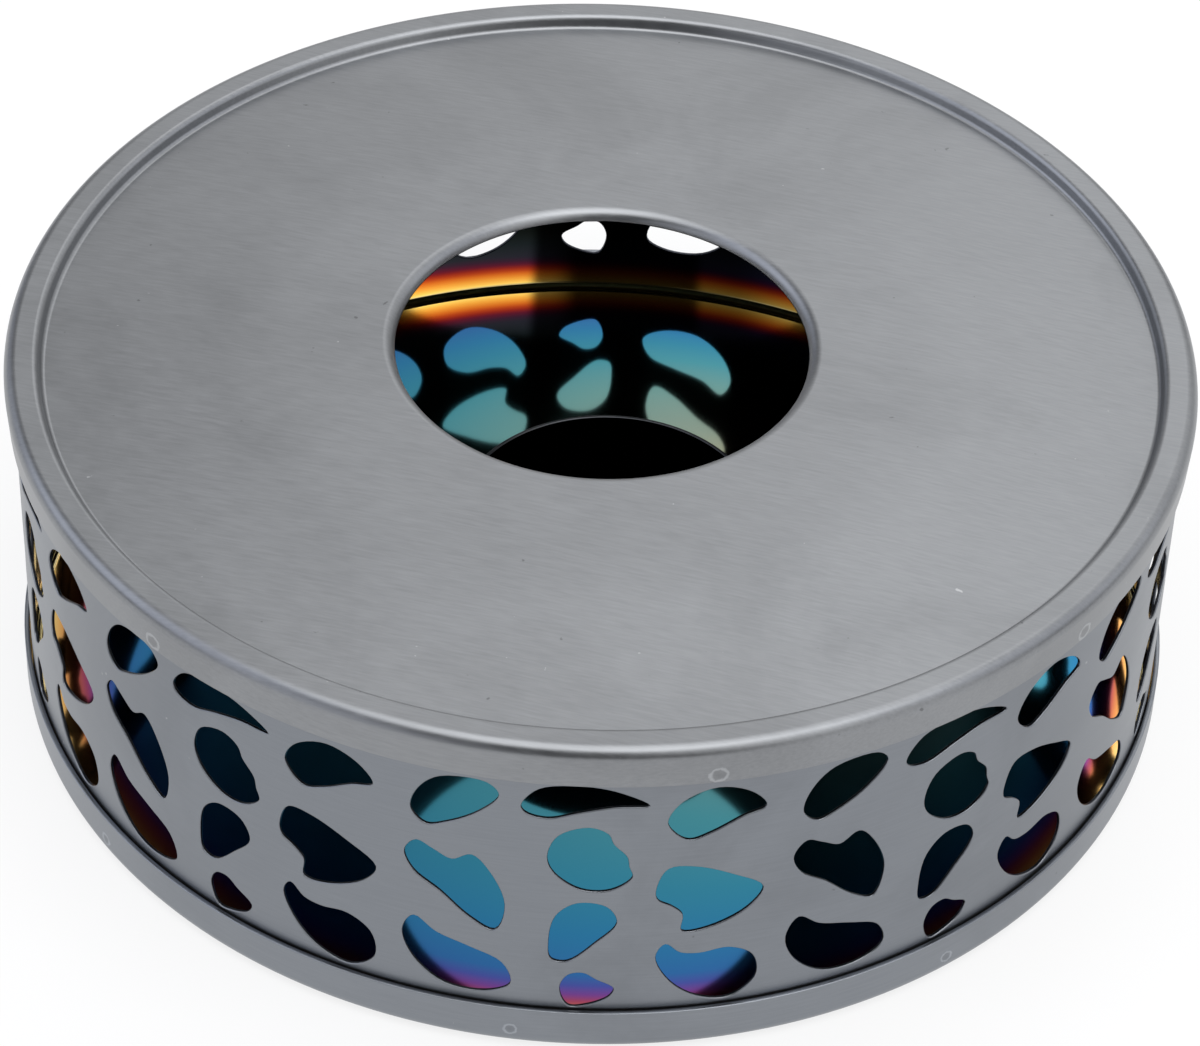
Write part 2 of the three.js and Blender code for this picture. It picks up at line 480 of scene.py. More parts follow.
@dataclass(frozen=True)
class RainbowFilm:
    """Mirror-polished steel under a vapour-deposited film, whose colour follows the film's thickness.

    The film is thinnest in the corner of wall and floor: straw there, then orange, violet and blue within a
    centimetre, and teal to a pale olive towards the middle of the floor, where the thickness levels off at a
    limit. The limit grows towards the back and the right, as a quadratic of the distance that way. Up the
    wall the film thickens to orange and no further, and its colour is darkened upward: painted shade under
    the lid.
    """

    name: str
    corner_radius: float
    corner_height: float
    near_mm: float = 8.7
    lean: tuple[float, float] = (0.8, 0.6)
    limit: tuple[float, float, float] = (0.98, 0.0055, 0.00006)
    wall_rate: float = 0.9
    wall_most_mm: float = 4.1
    # Painted shade: over this rise above the corner, the film's colour darkens to this share.
    painted_shade_rise_mm: Span = (3.5, 12.0)
    painted_shade_darkest: float = 0.12
    roughness: float = 0.055
    stops: tuple[tuple[float, str], ...] = (
        (0.0, "#a8935a"), (0.02, "#f4e2a6"), (0.1, "#f6e2a4"), (0.17, "#f0cc80"), (0.24, "#e6b068"),
        (0.3, "#d68c50"), (0.345, "#b9604c"), (0.385, "#98435f"), (0.42, "#70418a"), (0.46, "#46509a"),
        (0.50, "#30659e"), (0.60, "#2c749e"), (0.68, "#348099"), (0.76, "#458b96"), (0.84, "#64908c"),
        (0.92, "#7f8e80"), (0.97, "#9a8f6c"), (1.0, "#a48c60"))

    def thickness(self, tree: Tree, place: Socket, rise: Socket) -> Socket:
        """Works out the film's thickness from the distance to the corner, along the wall or the floor.

        At distance d it is d / (d / m + n), which starts as d / n and levels off at the limit m.

        Args:
            tree: node tree of the material.
            place: position on the piece.
            rise: height above the corner.

        Returns:
            The thickness, as a place among the stops.
        """
        flat = add_node(tree, "ShaderNodeVectorMath", {
            0: place, 1: (1.0, 1.0, 0.0)}, operation="MULTIPLY").outputs[0]
        radius = add_node(tree, "ShaderNodeVectorMath", {0: flat}, operation="LENGTH").outputs[1]
        inward = add_node(tree, "ShaderNodeMath", {
            0: self.corner_radius * MM, 1: radius}, operation="SUBTRACT").outputs[0]
        up = add_node(tree, "ShaderNodeMath", {0: rise, 1: self.wall_rate}, operation="MULTIPLY").outputs[0]
        up = add_node(tree, "ShaderNodeMath", {
            0: up, 1: self.wall_most_mm * MM}, operation="MINIMUM").outputs[0]
        away = add_node(tree, "ShaderNodeMath", {0: inward, 1: up}, operation="ADD").outputs[0]
        slant = add_node(tree, "ShaderNodeVectorMath", {
            0: place, 1: (self.lean[0] / MM, self.lean[1] / MM, 0.0)}, operation="DOT_PRODUCT").outputs[1]
        limit = self.limit[2]
        for part in (self.limit[1], self.limit[0]):
            limit = add_node(tree, "ShaderNodeMath", {
                0: limit, 1: slant, 2: part}, operation="MULTIPLY_ADD").outputs[0]
        slowed = add_node(tree, "ShaderNodeMath", {0: away, 1: limit}, operation="DIVIDE").outputs[0]
        span = add_node(tree, "ShaderNodeMath", {
            0: slowed, 1: self.near_mm * MM}, operation="ADD").outputs[0]
        return add_node(tree, "ShaderNodeMath", {0: away, 1: span}, operation="DIVIDE").outputs[0]

    def material(self) -> bpy.types.Material:
        """Builds the finish.

        Returns:
            The new material.
        """
        material, tree, shader, place = new_material(self.name)
        height = add_node(tree, "ShaderNodeSeparateXYZ", {0: place}).outputs[2]
        rise = add_node(tree, "ShaderNodeMath", {
            0: height, 1: self.corner_height * MM}, operation="SUBTRACT").outputs[0]
        thickness = self.thickness(tree, place, rise)
        stops = [(at, linear(colour)) for at, colour in self.stops]
        colour = add_node(tree, "ShaderNodeValToRGB", {0: thickness}, stops).outputs[0]
        # Painted shade: the film's colour darkens up the wall, towards the lid.
        level = add_node(tree, "ShaderNodeMapRange", {
            "Value": rise, "From Min": self.painted_shade_rise_mm[0] * MM, "From Max": self.painted_shade_rise_mm[1] * MM,
            "To Min": 1.0, "To Max": self.painted_shade_darkest}, interpolation_type="SMOOTHSTEP").outputs[0]
        colour = add_node(tree, "ShaderNodeVectorMath", {
            0: colour, 1: level}, operation="MULTIPLY").outputs[0]
        tree.links.new(colour, shader.inputs["Base Color"])
        shader.inputs["Roughness"].default_value = self.roughness
        return material


@dataclass(frozen=True)
class NearlyBlackSteel:
    """Polished steel coloured nearly black, with a faint blotchy tone."""

    name: str
    colour: str
    sheen_colour: str
    roughness: float = 0.12
    cloud_mm: float = 14.0

    def material(self) -> bpy.types.Material:
        """Builds the finish.

        Returns:
            The new material.
        """
        material, tree, shader, place = new_material(self.name)
        clouds = add_node(tree, "ShaderNodeTexNoise", {
            "Vector": place, "Scale": 1 / (self.cloud_mm * MM), "Detail": 3.0}).outputs[0]
        colour = add_node(tree, "ShaderNodeMix", {
            "Factor": clouds, 6: linear(self.colour), 7: linear(self.sheen_colour)},
            data_type="RGBA").outputs[2]
        tree.links.new(colour, shader.inputs["Base Color"])
        shader.inputs["Roughness"].default_value = self.roughness
        return material


# Pieces


@dataclass(frozen=True)
class Extent:
    """Outer radius, middle, lowest and highest level of a frame node, in millimetres."""

    radius: float
    low: float
    high: float
    middle: tuple[float, float]

    @classmethod
    def of(cls, node: str) -> Extent:
        """Measures a node of the frame.

        Args:
            node: name of the node.

        Returns:
            The node's extent.
        """
        low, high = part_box(node)
        middle = (low + high) / 2 / MM
        return cls((high.x - low.x) / 2 / MM, low.z / MM, high.z / MM, (middle.x, middle.y))

    def pan(self, bend: float) -> list[Corner]:
        """Lists the outer face of a round pan of this size, from the middle of its floor to its edge."""
        return [Corner(0, self.low), Corner(self.radius, self.low, bend), Corner(self.radius, self.high)]


@dataclass
class TopPlate:
    """Drawn lid: skirt, rim, plate that rises to a flat ring, and flame hole with its edge rolled down."""

    extent: Extent
    sheet: float = 0.6
    skirt_flare: float = 0.35
    rim_bend: float = 1.0
    rim_width: float = 4.25
    step_top_bend: float = 0.3
    step_width: float = 0.55
    step_foot_bend: float = 0.6
    plate_recess: float = 1.6
    plate_crown: float = 1.5
    crown_radius: float = 44.0
    crown_bend: float = 150.0
    hole_radius: float = 26.1
    hole_drop: float = 1.4
    hole_draft: float = 0.2
    hole_bend: float = 1.0
    edge_bulge: float = 0.12

    def corners(self) -> list[Corner]:
        """Lists the outer face from the skirt's lower edge to the flame hole.

        The skirt leans out, so the bend at the rim ends a little inside the corner of skirt and rim.

        Returns:
            The corners, with the sheet to their left.
        """
        top = self.extent.high
        lean = self.skirt_flare / (top - self.extent.low)
        rim = self.extent.radius + lean * (self.rim_bend + self.sheet)
        inner = rim - self.rim_width
        groove = top - self.plate_recess
        plate = groove + self.plate_crown
        return [Corner(rim - self.skirt_flare, self.extent.low),
                Corner(rim, top, self.rim_bend),
                Corner(inner, top, self.step_top_bend),
                Corner(inner - self.step_width, groove, self.step_foot_bend),
                Corner(self.crown_radius, plate, self.crown_bend),
                Corner(self.hole_radius + self.hole_draft, plate, self.hole_bend),
                Corner(self.hole_radius, plate - self.hole_drop)]

    def build(self, materials: Sequence[bpy.types.Material]) -> None:
        """Turns the lid's section and sets it in place of its node.

        Args:
            materials: finishes, in the order of Side.
        """
        patches = turned_sheet(self.corners(), self.sheet, self.edge_bulge)
        piece = make_piece("lid", patches, materials, Body.DRUM)
        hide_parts("top_plate")


@dataclass
class BasePan:
    """Drawn floor with an upturned ring."""

    extent: Extent
    sheet: float = 0.65
    bend: float = 1.3
    edge_bulge: float = 0.12

    def build(self, materials: Sequence[bpy.types.Material]) -> None:
        """Turns the pan's section and sets it in place of its node.

        Args:
            materials: finishes, in the order of Side.
        """
        patches = turned_sheet(self.extent.pan(self.bend), self.sheet, self.edge_bulge)
        piece = make_piece("pan", patches, materials, Body.DRUM)
        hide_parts("base_pan")


@dataclass
class CandleCup:
    """Lift-out cup for one tea light."""

    extent: Extent
    sheet: float = 0.5
    bend: float = 1.5
    edge_bulge: float = 0.15

    def build(self, materials: Sequence[bpy.types.Material]) -> None:
        """Turns the cup's section, shifts it to where the cup stands and sets it in place of its node.

        Args:
            materials: finishes, in the order of Side.
        """
        shift = np.array([*self.extent.middle, 0])
        patches = [replace(patch, points=patch.points + shift)
                   for patch in turned_sheet(self.extent.pan(self.bend), self.sheet, self.edge_bulge)]
        piece = make_piece("cup", patches, materials, Body.CUP)
        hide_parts("candle_cup")


# One repeat of the cut-outs on the flat strip: x along it from its middle, y up from the lowest cut-out.
CUTOUTS = (
    ((-18.8, 28.3), (-20.6, 30.2), (-19.7, 33.8), (-17, 36.5), (-11.6, 36.8), (-10.1, 35), (-12.5, 31.8),
     (-16.5, 29.1)),
    ((-21.4, 23), (-19.9, 25.2), (-17.9, 24.3), (-15.6, 23.2), (-13.2, 24.5), (-11, 22), (-9.2, 16.8),
     (-10.4, 12.3), (-13.4, 13.9), (-17, 17.4), (-20.3, 20)),
    ((-21.7, 9.3), (-20.2, 12.3), (-17.5, 10.3), (-13.4, 8.8), (-9.5, 6.9), (-8.4, 3.3), (-11.4, 1.5),
     (-16.4, 1.7), (-20.3, 5)),
    ((-7.5, 33.7), (-5.4, 36.7), (-1, 37.5), (3.3, 36.8), (7.4, 34.4), (3.4, 34.2), (-0.7, 33.2),
     (-4.4, 32), (-6.9, 32.6)),
    ((-4.3, 25.6), (-3, 29.3), (0.5, 30.8), (2.7, 29.8), (3.4, 28.1), (5, 26), (5.3, 24.3), (5.7, 22.5),
     (3.2, 20.4), (-0.2, 20.4), (-3.4, 22.9)),
    ((-3.9, 10.8), (-3.1, 15.8), (-0.6, 18.1), (2.8, 17.6), (4.1, 14.8), (1.6, 11.3), (-1.7, 8), (-3.5, 8.3)),
    ((-2.4, 3.4), (-1.4, 5.7), (0.3, 6.1), (1.9, 5), (4, 3.5), (3.4, 1.9), (0.8, 0.5), (-1.3, 0.3)),
    ((9.6, 31.7), (11.3, 34.8), (15.3, 36.6), (19.3, 35.2), (21.2, 32.5), (18.5, 31.4), (14.8, 29.3),
     (12.2, 28.4), (10.3, 29.9)),
    ((8.6, 20.2), (10, 23.8), (13.2, 23.8), (17.7, 21.8), (21.5, 18.9), (19.8, 15.8), (15, 13.2),
     (11.9, 13), (11.9, 15.8), (10.6, 17.3), (8.9, 18.5)),
    ((8.9, 8.8), (10, 10.9), (11.8, 9.3), (14.1, 8.9), (17.7, 9.3), (20.7, 7.4), (21.2, 3.3), (18.1, 0.6),
     (14.1, 1.4), (10.7, 4.4)),
)


def closed_spline(knots: Sequence[tuple[float, float]], steps: int) -> np.ndarray:
    """Draws a closed centripetal Catmull-Rom curve, counter-clockwise.

    Args:
        knots: points that the curve goes through.
        steps: samples on each span between two knots.

    Returns:
        The samples as an array of (x, y).
    """
    p1 = np.array(knots, dtype=float)
    if np.sum(p1[:, 0] * np.roll(p1[:, 1], -1) - p1[:, 1] * np.roll(p1[:, 0], -1)) < 0:
        p1 = p1[::-1]
    p0, p2, p3 = (np.roll(p1, shift, axis=0) for shift in (1, -1, -2))
    spans = ((p0, p1), (p1, p2), (p2, p3))
    d0, d1, d2 = (np.sqrt(np.linalg.norm(end - start, axis=1, keepdims=True)) for start, end in spans)
    t1 = ((p1 - p0) / d0 - (p2 - p0) / (d0 + d1) + (p2 - p1) / d1) * d1
    t2 = ((p2 - p1) / d1 - (p3 - p1) / (d1 + d2) + (p3 - p2) / d2) * d1
    t = (np.arange(steps) / steps)[None, :, None]
    a, b, c, d = (v[:, None, :] for v in (p1, t1, 3 * (p2 - p1) - 2 * t1 - t2, 2 * (p1 - p2) + t1 + t2))
    return (a + b * t + c * t ** 2 + d * t ** 3).reshape(-1, 2)


def outward(loop: np.ndarray) -> np.ndarray:
    """Works out the normals of a closed curve: its direction at each point, turned right.

    Args:
        loop: points of the curve, counter-clockwise, as an array of (x, y).

    Returns:
        Unit normals, away from what the curve encloses.
    """
    along = np.roll(loop, -1, axis=0) - np.roll(loop, 1, axis=0)
    normal = np.stack([along[:, 1], -along[:, 0]], axis=1)
    return normal / np.linalg.norm(normal, axis=1, keepdims=True)


def inside(points: np.ndarray, loop: np.ndarray) -> np.ndarray:
    """Tells which points lie in a closed curve: a level ray from them crosses an odd number of its sides.

    Args:
        points: array of (x, y).
        loop: points of the curve.

    Returns:
        A truth value for each point.
    """
    x, y = points[:, :1], points[:, 1:]
    (x0, y0), (x1, y1) = loop.T, np.roll(loop, -1, axis=0).T
    spans = (y0 > y) != (y1 > y)
    rise = np.where(y1 == y0, 1, y1 - y0)
    return np.sum(spans & (x < x0 + (y - y0) / rise * (x1 - x0)), axis=1) % 2 == 1


@dataclass(frozen=True)
class Rolling:
    """Rolls one repeat of the flat strip to the drum, at each of the chosen repeats.

    A point of the strip is its distance along it from the repeat's middle, and its height. The repeats creep
    round towards the back: by the fourth power of the sine of half the angle.
    """

    radius: float
    repeats: int
    creep_deg: float
    chosen: np.ndarray

    def angles(self, strip: np.ndarray) -> np.ndarray:
        """Gives the angle of each point, as an array of repeat and point."""
        angle = strip[None, :, 0] / self.radius + self.chosen[:, None] * FULL_TURN / self.repeats
        return angle + math.radians(self.creep_deg) * np.sin(angle / 2) ** 4

    def points(self, strip: np.ndarray, depth: np.ndarray | float) -> np.ndarray:
        """Rolls points: the angle is the distance along the strip over the radius, and the height stays.

        Args:
            strip: points of one repeat.
            depth: how far below the outer face they lie.

        Returns:
            The points of all chosen repeats, as an array of (x, y, z).
        """
        angle = self.angles(strip)
        radius = np.broadcast_to(self.radius - depth, angle.shape)
        height = np.broadcast_to(strip[None, :, 1], angle.shape)
        return np.stack([radius * np.sin(angle), -radius * np.cos(angle), height], axis=2).reshape(-1, 3)

    def normals(self, strip: np.ndarray, flat: np.ndarray, lift: np.ndarray | float) -> np.ndarray:
        """Rolls normals: each is turned about the axis by its point's angle.

        Args:
            strip: points of one repeat.
            flat: the part of their normals in the strip's plane.
            lift: the part away from the axis.

        Returns:
            The normals of all chosen repeats, as an array of (x, y, z).
        """
        angle = self.angles(strip)
        sin, cos = np.sin(angle), np.cos(angle)
        across = np.broadcast_to(flat[None, :, 0], angle.shape)
        up = np.broadcast_to(flat[None, :, 1], angle.shape)
        out = np.broadcast_to(lift, angle.shape)
        return np.stack([out * sin + across * cos, -out * cos + across * sin, up], axis=2).reshape(-1, 3)

    def faces(self, faces: np.ndarray, count: int) -> np.ndarray:
        """Copies the faces of one repeat, which has count points."""
        shift = (np.arange(len(self.chosen)) * count)[:, None, None]
        return (faces[None] + shift).reshape(-1, faces.shape[1])


@dataclass
class PerforatedWall:
    """Strip with cut-outs, rolled to a drum. In the repeat where its ends lap, the right column of cut-outs
    is left out.
    """

    extent: Extent
    sheet: float = 0.5
    repeats: int = 10
    seam_repeat: int = 4
    seam_cutouts: int = 7
    pattern_foot: float = 5.0
    pattern_head: float = 5.2
    pattern_height: float = 37.5
    pattern_width: float = 46.5
    pattern_creep_deg: float = 1.85
    edge_round: float = 0.16
    span_steps: int = 5
    mesh_size: float = 1.5
    cell: float = field(init=False)

    def __post_init__(self) -> None:
        """Works out the length of strip that one repeat takes."""
        self.cell = FULL_TURN * self.extent.radius / self.repeats

    def loops(self) -> list[np.ndarray]:
        """Draws the cut-outs of one repeat on the strip.

        Returns:
            Their outlines, in millimetres of arc and height.
        """
        room = self.extent.high - self.extent.low - self.pattern_foot - self.pattern_head
        scale = np.array([self.cell / self.pattern_width, room / self.pattern_height])
        start = np.array([0, self.extent.low + self.pattern_foot])
        return [closed_spline(knots, self.span_steps) * scale + start for knots in CUTOUTS]

    def face_patches(self, loops: Sequence[np.ndarray], rolling: Rolling) -> list[Patch]:
        """Meshes the strip round the cut-outs and rolls it as the outer and the inner face.

        Args:
            loops: outlines of the cut-outs in one repeat.
            rolling: the repeats to make.

        Returns:
            Both faces, and the strip's lower and upper edges.
        """
        half = self.cell / 2
        across = np.linspace(-half, half, 1 + round(self.cell / self.mesh_size))
        up = np.linspace(self.extent.low, self.extent.high,
                         1 + round((self.extent.high - self.extent.low) / self.mesh_size))
        frame = np.concatenate([np.stack([across[:-1], np.full(len(across) - 1, up[0])], axis=1),
                                np.stack([np.full(len(up) - 1, half), up[:-1]], axis=1),
                                np.stack([across[:0:-1], np.full(len(across) - 1, up[-1])], axis=1),
                                np.stack([np.full(len(up) - 1, -half), up[:0:-1]], axis=1)])
        grid = np.stack(np.meshgrid(across[1:-1], up[1:-1]), axis=-1).reshape(-1, 2)
        cut = np.concatenate(loops)
        clear = np.min(np.linalg.norm(grid[:, None] - cut[None], axis=2), axis=1) > self.mesh_size / 2
        for loop in loops:
            clear &= ~inside(grid, loop)
        rings = [frame, *loops]
        starts = np.cumsum([0] + [len(ring) for ring in rings])
        edges = [(start + i, start + (i + 1) % len(ring)) for ring, start in zip(rings, starts)
                 for i in range(len(ring))]
        points = np.concatenate([*rings, grid[clear]])
        _, _, found, origin, _, _ = delaunay_2d_cdt([Vector(p) for p in points], edges, [], 0, MESH_TOLERANCE)
        back = np.array([sources[0] for sources in origin])
        faces = back[np.array([tuple(face) for face in found])]
        middle = points[faces].mean(axis=1)
        solid = np.ones(len(faces), dtype=bool)
        for loop in loops:
            solid &= ~inside(middle, loop)
        faces = rolling.faces(faces[solid], len(points))
        out = rolling.normals(points, np.zeros_like(points), 1.0)
        inner = faces[:, ::-1]
        return [Patch(rolling.points(points, 0.0), faces, out[faces], Side.OUTSIDE),
                Patch(rolling.points(points, self.sheet), inner, -out[inner], Side.INSIDE),
                *self.rim_patches(across, rolling)]

    def rim_patches(self, across: np.ndarray, rolling: Rolling) -> list[Patch]:
        """Closes the strip's lower and upper edges.

        Args:
            across: places along the strip in one repeat.
            rolling: the repeats to make.

        Returns:
            A patch for each edge.
        """
        patches = []
        n = len(across)
        index = np.arange(n - 1)
        quads = np.stack([index, index + n, index + n + 1, index + 1], axis=1)
        for height, facing in ((self.extent.low, -1.0), (self.extent.high, 1.0)):
            line = np.stack([across, np.full(n, height)], axis=1)
            strip = np.concatenate([line, line])
            depth = np.repeat([0.0, self.sheet], n)
            faces = rolling.faces(quads if facing < 0 else quads[:, ::-1], 2 * n)
            normals = np.broadcast_to([0.0, 0.0, facing], faces.shape + (3,))
            patches.append(Patch(rolling.points(strip, depth), faces, normals, Side.EDGE))
        return patches

    def edge_patches(self, loop: np.ndarray, rolling: Rolling) -> list[Patch]:
        """Lines one cut-out: a rounded outer edge, the cut through the sheet and a rounded inner edge.

        At angle a of a quarter round of radius b, the edge stands back from the cut by b (1 - sin a) and lies
        b (1 - cos a) below the face. The outer round has the finish of the outside.

        Args:
            loop: outline at the faces, where the rounds begin.
            rolling: the repeats to make.

        Returns:
            A patch for the outer round, and one for the cut with the inner round.
        """
        angle = np.linspace(0, math.pi, HALF_ROUND_POINTS)
        middle = len(angle) // 2
        back = self.edge_round * (1 - np.sin(angle))
        deep = self.edge_round * (1 - np.cos(angle))
        deep[middle + 1:] += self.sheet - 2 * self.edge_round
        back = np.insert(back, middle + 1, 0.0)
        deep = np.insert(deep, middle + 1, self.sheet - self.edge_round)
        angle = np.insert(angle, middle + 1, math.pi / 2)
        away = outward(loop)
        n, rows = len(loop), len(angle)
        strip = (loop[None] + (back - self.edge_round)[:, None, None] * away[None]).reshape(-1, 2)
        flat = (-np.sin(angle)[:, None, None] * away[None]).reshape(-1, 2)
        lift = np.repeat(np.cos(angle), n)
        index = np.arange(rows * n).reshape(rows, n)
        beside = np.roll(index, -1, axis=1)
        quads = np.stack([index[:-1], beside[:-1], beside[1:], index[1:]], axis=-1)
        points = rolling.points(strip, np.repeat(deep, n))
        normals = rolling.normals(strip, flat, lift)
        patches = []
        for part, side in ((quads[:middle], Side.OUTSIDE), (quads[middle:], Side.EDGE)):
            faces = rolling.faces(part.reshape(-1, 4), rows * n)
            patches.append(Patch(points, faces, normals[faces], side))
        return patches

    def build(self, materials: Sequence[bpy.types.Material]) -> None:
        """Makes the wall and sets it in place of its node.

        Args:
            materials: finishes, in the order of Side.
        """
        rims = [loop + self.edge_round * outward(loop) for loop in self.loops()]
        at_seam = np.arange(self.repeats) == self.seam_repeat
        patches = []
        for chosen, cut in ((~at_seam, rims), (at_seam, rims[:self.seam_cutouts])):
            rolling = Rolling(self.extent.radius, self.repeats, self.pattern_creep_deg,
                              np.flatnonzero(chosen))
            patches += self.face_patches(cut, rolling)
            patches += [patch for rim in cut for patch in self.edge_patches(rim, rolling)]
        piece = make_piece("wall", patches, materials, Body.DRUM)
        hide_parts("perforated_wall")


# Studio


@dataclass(frozen=True)
class Glow:
    """A soft patch of light on the studio's dome.

    Azimuth runs from the front, where the camera stands, towards the right. The patch has its full level
    within the half angle and fades to nothing over the soft angle.
    """

    azimuth_deg: float
    elevation_deg: float
    half_deg: float
    soft_deg: float
    level: float
    tint: str = "#ffffff"

    def share(self, tree: Tree, direction: Socket) -> Socket:
        """Tells how much of the patch shows in a direction, by the cosine of the angle to its middle.

        Args:
            tree: node tree of the world.
            direction: unit vector away from the object.

        Returns:
            The share, from 0 to 1.
        """
        turn, rise = math.radians(self.azimuth_deg), math.radians(self.elevation_deg)
        middle = (math.sin(turn) * math.cos(rise), -math.cos(turn) * math.cos(rise), math.sin(rise))
        near = add_node(tree, "ShaderNodeVectorMath", {
            0: direction, 1: middle}, operation="DOT_PRODUCT").outputs[1]
        return add_node(tree, "ShaderNodeMapRange", {
            "Value": near, "From Min": math.cos(math.radians(self.half_deg + self.soft_deg)),
            "From Max": math.cos(math.radians(self.half_deg))}, interpolation_type="SMOOTHSTEP").outputs[0]


@dataclass
class Studio:
    """Pale floor, a soft dome of light and a camera at the photograph's viewing angle."""

    distance: float = 589.48
    elevation_deg: float = 42.502
    aim_height: float = 0.7
    pan_deg: float = -0.052
    tilt_deg: float = 1.350
    roll_deg: float = -2.016
    focal_px: float = 4427.6
    image_width_px: int = 1200
    sensor_mm: float = 36.0
    clip_start_m: float = 0.01
    floor_size_m: float = 8.0
    floor_drop_mm: float = 0.2
    dome_level: float = 0.1
    glows: tuple[Glow, ...] = (
        Glow(0, 86, 16, 16, 2.0),
        Glow(50, 64, 10, 14, 1.4),
        Glow(0, 66, 10, 14, 0.5),
        Glow(30, 42, 14, 5, 1.15),
        Glow(50, 12, 15, 18, 0.8),
        Glow(-50, 12, 15, 18, 0.8, "#f3f6ff"),
        Glow(-95, 38, 14, 20, 1.25, "#ecf1ff"),
        Glow(95, 38, 14, 20, 0.8, "#f3f6ff"),
        Glow(-122, 14, 16, 16, 0.5, "#ecf1ff"),
        Glow(122, 14, 16, 16, 0.6),
        Glow(154, 42, 9, 18, 0.87),
        Glow(180, 38, 8, 16, 0.48),
        Glow(180, 10, 15, 16, 0.6),
        Glow(180, 66, 10, 16, 0.95))
    shades: tuple[Glow, ...] = (
        Glow(-2.4, 42, 13, 2, 0.9),
        Glow(180, 48, 3, 4, 0.42))
    paper_glow: float = 0.8

    def camera(self) -> None:
        """Places the camera: on an arc about the aim point, then panned, tilted and rolled a little."""
        angle = math.radians(self.elevation_deg)
        aim = Vector((0, 0, self.aim_height * MM))
        away = Vector((0, -math.cos(angle), math.sin(angle)))
        ahead = -away
        right = Vector((1, 0, 0))
        up = right.cross(ahead)
        pan = Matrix.Rotation(math.radians(self.pan_deg), 3, up)
        ahead, right = pan @ ahead, pan @ right
        tilt = Matrix.Rotation(math.radians(self.tilt_deg), 3, right)
        ahead, up = tilt @ ahead, tilt @ up
        roll = Matrix.Rotation(math.radians(self.roll_deg), 3, ahead)
        right, up = roll @ right, roll @ up
        data = bpy.data.cameras.new("camera")
        data.sensor_fit = "HORIZONTAL"
        data.sensor_width = self.sensor_mm
        data.lens = self.sensor_mm * self.focal_px / self.image_width_px
        data.clip_start = self.clip_start_m
        camera = bpy.data.objects.new("camera", data)
        turn = Matrix((right, up, -ahead)).transposed().to_4x4()
        camera.matrix_world = Matrix.Translation(aim + away * self.distance * MM) @ turn
        bpy.context.scene.collection.objects.link(camera)
        bpy.context.scene.camera = camera

    def floor(self) -> None:
        """Lays the floor: white paper, which eyes and mirrors see as nearly plain white, with its shadow."""
        half = self.floor_size_m / 2
        corners = [(-half, -half, 0), (half, -half, 0), (half, half, 0), (-half, half, 0)]
        mesh = bpy.data.meshes.new("floor")
        mesh.from_pydata(corners, [], [(0, 1, 2, 3)])
        material = bpy.data.materials.new("white_paper_sweep")
        material.use_nodes = True
        tree = material.node_tree
        tree.nodes.clear()
        paper = add_node(tree, "ShaderNodeBsdfDiffuse", {"Color": linear("#fafafa")}).outputs[0]
        white = add_node(tree, "ShaderNodeEmission", {"Color": linear("#ffffff"), "Strength": 1.0}).outputs[0]
        ray = add_node(tree, "ShaderNodeLightPath").outputs
        seen = ray["Is Camera Ray"]
        for kind in ("Is Glossy Ray", "Is Transmission Ray"):
            seen = add_node(tree, "ShaderNodeMath", {0: seen, 1: ray[kind]}, operation="MAXIMUM").outputs[0]
        share = add_node(tree, "ShaderNodeMath", {
            0: seen, 1: self.paper_glow}, operation="MULTIPLY").outputs[0]
        surface = add_node(tree, "ShaderNodeMixShader", {0: share, 1: paper, 2: white}).outputs[0]
        add_node(tree, "ShaderNodeOutputMaterial", {"Surface": surface})
        mesh.materials.append(material)
        floor = bpy.data.objects.new("floor", mesh)
        bpy.context.scene.collection.objects.link(floor)
        floor.location.z = -self.floor_drop_mm * MM

    def world(self) -> None:
        """Surrounds the object with a dim dome that has soft patches of light and two dark ones."""
        world = bpy.data.worlds.new("studio")
        bpy.context.scene.world = world
        world.use_nodes = True
        tree = world.node_tree
        tree.nodes.clear()
        direction = add_node(tree, "ShaderNodeTexCoord").outputs["Generated"]
        light = (self.dome_level,) * 3
        for glow in self.glows:
            colour = tuple(glow.level * part for part in linear(glow.tint)[:3])
            light = add_node(tree, "ShaderNodeVectorMath", {
                0: glow.share(tree, direction), 1: colour, 2: light}, operation="MULTIPLY_ADD").outputs[0]
        for shade in self.shades:
            shown = shade.share(tree, direction)
            left = add_node(tree, "ShaderNodeMath", {
                0: shown, 1: -shade.level, 2: 1.0}, operation="MULTIPLY_ADD").outputs[0]
            light = add_node(tree, "ShaderNodeVectorMath", {
                0: light, 1: left}, operation="MULTIPLY").outputs[0]
        background = add_node(tree, "ShaderNodeBackground", {"Color": light, "Strength": 1.0})
        add_node(tree, "ShaderNodeOutputWorld", {"Surface": background.outputs[0]})

    def build(self) -> None:
        """Sets up floor, world and camera."""
        bpy.context.scene.view_settings.view_transform = "Standard"
        self.floor()
        self.world()
        self.camera()


# Weld marks: angles from the front towards the right, and height above the lower edge of skirt and ring.
SKIRT_WELDS_DEG = (-43.5, 11.6, 51.3, 100, 145, 190, 235, 280)
SKIRT_WELD_RISE = 1.3
SKIRT_WELD_INSET = 0.1
SKIRT_WELD_RADIUS = 1.3
RING_WELDS_DEG = (-53.2, -6.3, 36.8, 82, 127, 172, 217, 262)
RING_WELD_RISE = 2.9
RING_WELD_RADIUS = 0.95


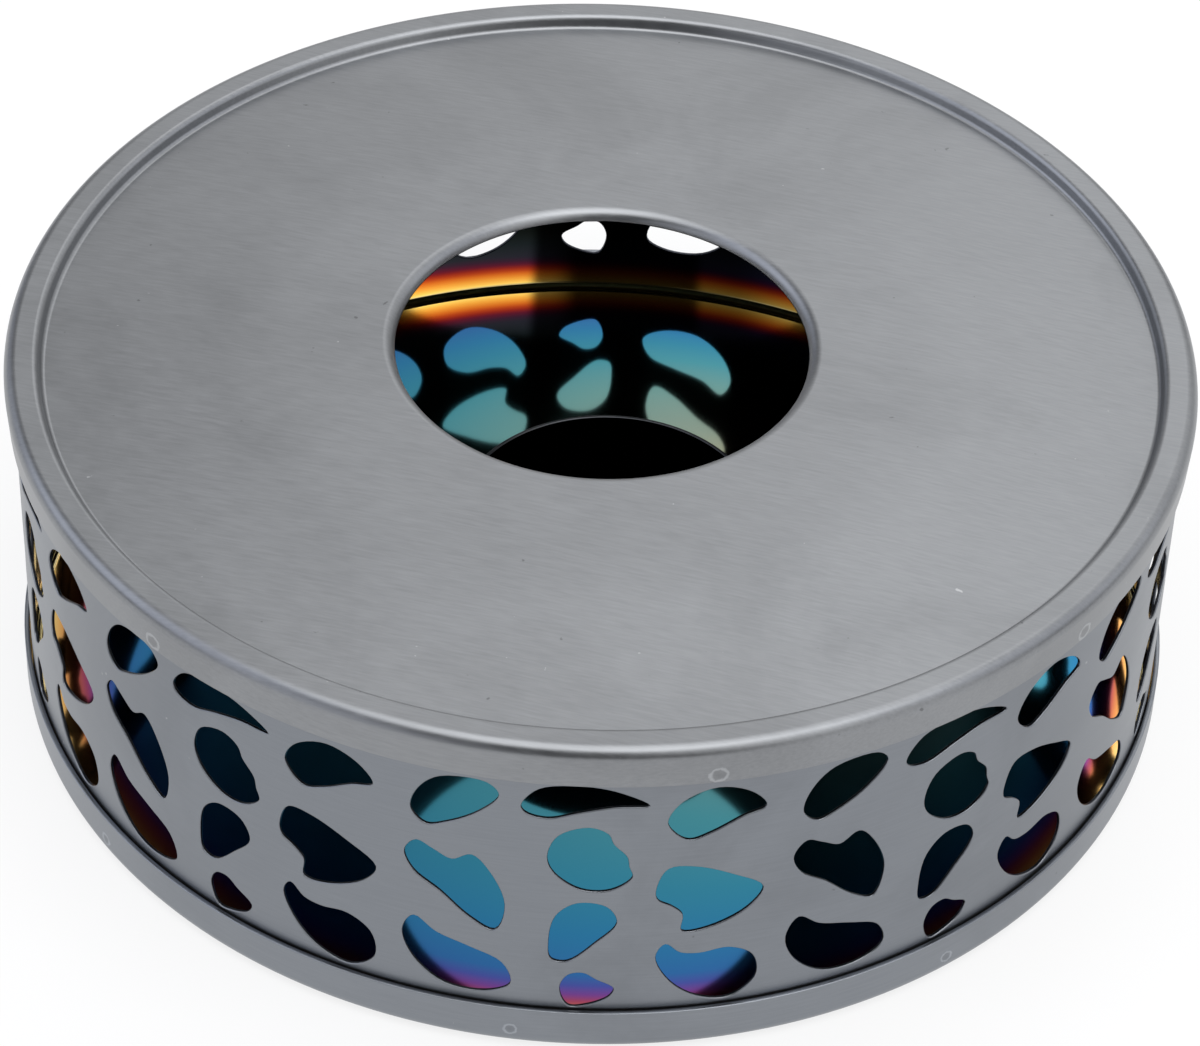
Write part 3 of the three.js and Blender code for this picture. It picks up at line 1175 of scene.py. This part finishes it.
def ring_of_welds(radius: float, height: float, angles_deg: Sequence[float]) -> tuple[Point, ...]:
    """Places weld marks round the axis, at angles from the front towards the right."""
    angles = [math.radians(angle) for angle in angles_deg]
    return tuple((radius * math.sin(angle), -radius * math.cos(angle), height) for angle in angles)


def main() -> None:
    """Loads the frame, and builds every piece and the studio."""
    logging.basicConfig(level=logging.INFO, format="%(name)s: %(message)s")
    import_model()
    wall, pan, lid = (Extent.of(node) for node in ("perforated_wall", "base_pan", "top_plate"))
    skirt_welds = WeldMarks(ring_of_welds(lid.radius - SKIRT_WELD_INSET, lid.low + SKIRT_WELD_RISE,
                                          SKIRT_WELDS_DEG), SKIRT_WELD_RADIUS)
    ring_welds = WeldMarks(ring_of_welds(pan.radius, pan.low + RING_WELD_RISE, RING_WELDS_DEG),
                           RING_WELD_RADIUS)
    # The polished film mirrors the wall in the floor, and the cup is coloured nearly black.
    film = RainbowFilm("polished_steel_rainbow_film", wall.radius - PerforatedWall.sheet,
                       pan.low + BasePan.sheet).material()
    dark = NearlyBlackSteel("polished_nearly_black_steel", "#1b1f25", "#282630").material()
    # Cut edges are coloured as thin dark lines, painted shade on the sheet's thickness; the cup's edge is a
    # little lighter.
    cut = BrushedSteel("cut_edge_painted_shade", "#4c4e55", "#3a3c42", Grain.ROUND).material()
    lip = BrushedSteel("dark_grey_cup_edge", "#5a5c60", "#44464a", Grain.ROUND).material()
    # Brushing blurs every reflection to a soft grey. The lid is the lightest. Its underside is coloured
    # darker: painted shade under the lid.
    # The wall and the ring are coloured darker and bluer than the lid, partly their own finishes and partly
    # painted shade with the tint of the bluish light from the left.
    lid_steel = BrushedSteel("straight_brushed_steel", "#95979a", "#898b8e", Grain.STRAIGHT, turn_deg=14,
                             stroke_mm=0.35, welds=skirt_welds).material()
    underside = BrushedSteel("steel_underside_painted_shade", "#66696e", "#5f6267", Grain.ROUND).material()
    wall_steel = BrushedSteel("satin_steel_wall_painted_bluish_shade", "#888c92", "#81858b", Grain.ROUND).material()
    ring_steel = BrushedSteel("round_brushed_ring_painted_bluish_shade", "#8c9096", "#84888e", Grain.ROUND,
                              welds=ring_welds).material()
    TopPlate(lid).build((lid_steel, underside, lid_steel))
    PerforatedWall(wall).build((wall_steel, film, cut))
    BasePan(pan).build((ring_steel, film, ring_steel))
    CandleCup(Extent.of("candle_cup")).build((dark, dark, lip))
    Studio().build()


if __name__ == "__main__":
    main()
